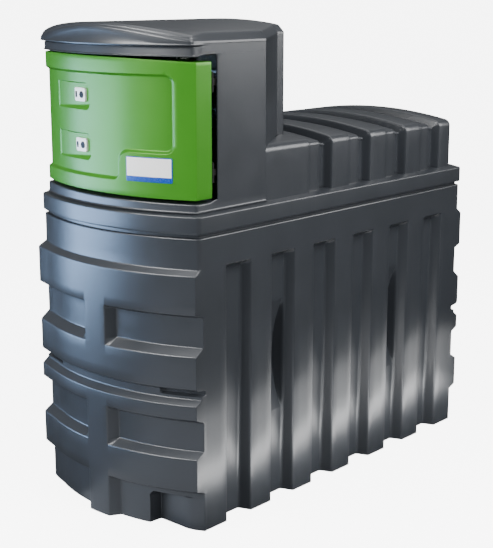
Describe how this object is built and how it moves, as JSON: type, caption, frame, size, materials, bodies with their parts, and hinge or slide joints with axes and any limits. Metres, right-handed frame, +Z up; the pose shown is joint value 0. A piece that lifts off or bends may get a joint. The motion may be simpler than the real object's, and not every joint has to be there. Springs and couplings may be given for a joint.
{
  "type": "bunded diesel storage and dispensing tank",
  "caption": "Double-walled plastic diesel tank with a ribbed tub, a ribbed lid and a lockable dispensing cabinet behind a bowed hinged door.",
  "frame": {"origin": "on the ground under the middle of the tub", "axes": "+Z up, the door faces -Y, +X is the hinge side of the door"},
  "size_m": [0.859, 1.96, 1.864],
  "materials": {
    "grey_plastic": "moulded satin",
    "natural_plastic": "moulded satin",
    "green_plastic": "moulded satin",
    "white_plastic": "gloss",
    "black_plastic": "satin",
    "label_film": "printed film",
    "plated_steel": "zinc plated",
    "painted_iron": "painted casting",
    "cast_aluminium": "die cast",
    "filter_bowl_plastic": "clear bowl"
  },
  "bodies": {
    "tank": {"bund": "grey_plastic", "deck_lid": "grey_plastic", "cabinet": "grey_plastic", "inner_tank": "natural_plastic", "fill_cap": "black_plastic", "hinge_cabinet_leaf_lower": "plated_steel", "hinge_cabinet_leaf_upper": "plated_steel", "hinge_pin_lower": "plated_steel", "hinge_pin_upper": "plated_steel", "backboard": "white_plastic", "filter_head": "cast_aluminium", "filter_bowl": "filter_bowl_plastic", "suction_pipe": "plated_steel", "pump_inlet_pipe": "plated_steel", "pump_head": "painted_iron", "pump_motor": "painted_iron", "outlet_pipe": "plated_steel", "flow_meter": "cast_aluminium", "hose_tail": "plated_steel", "contents_gauge": "black_plastic", "switch_box": "black_plastic", "nozzle_holster": "black_plastic"},
    "door": {"door": "green_plastic", "lock_plate_lower": "white_plastic", "lock_plate_upper": "white_plastic", "lock_barrel_lower": "black_plastic", "lock_barrel_upper": "black_plastic", "label_plate": "label_film", "hinge_door_leaf_lower": "plated_steel", "hinge_door_leaf_upper": "plated_steel"}
  },
  "joints": [
    {"name": "door_hinge", "type": "hinge", "parent": "tank", "child": "door", "pos_m": [0.398, -0.7525, 1.5], "axis": [0, 0, 1], "range_deg": [0, 110]}
  ]
}
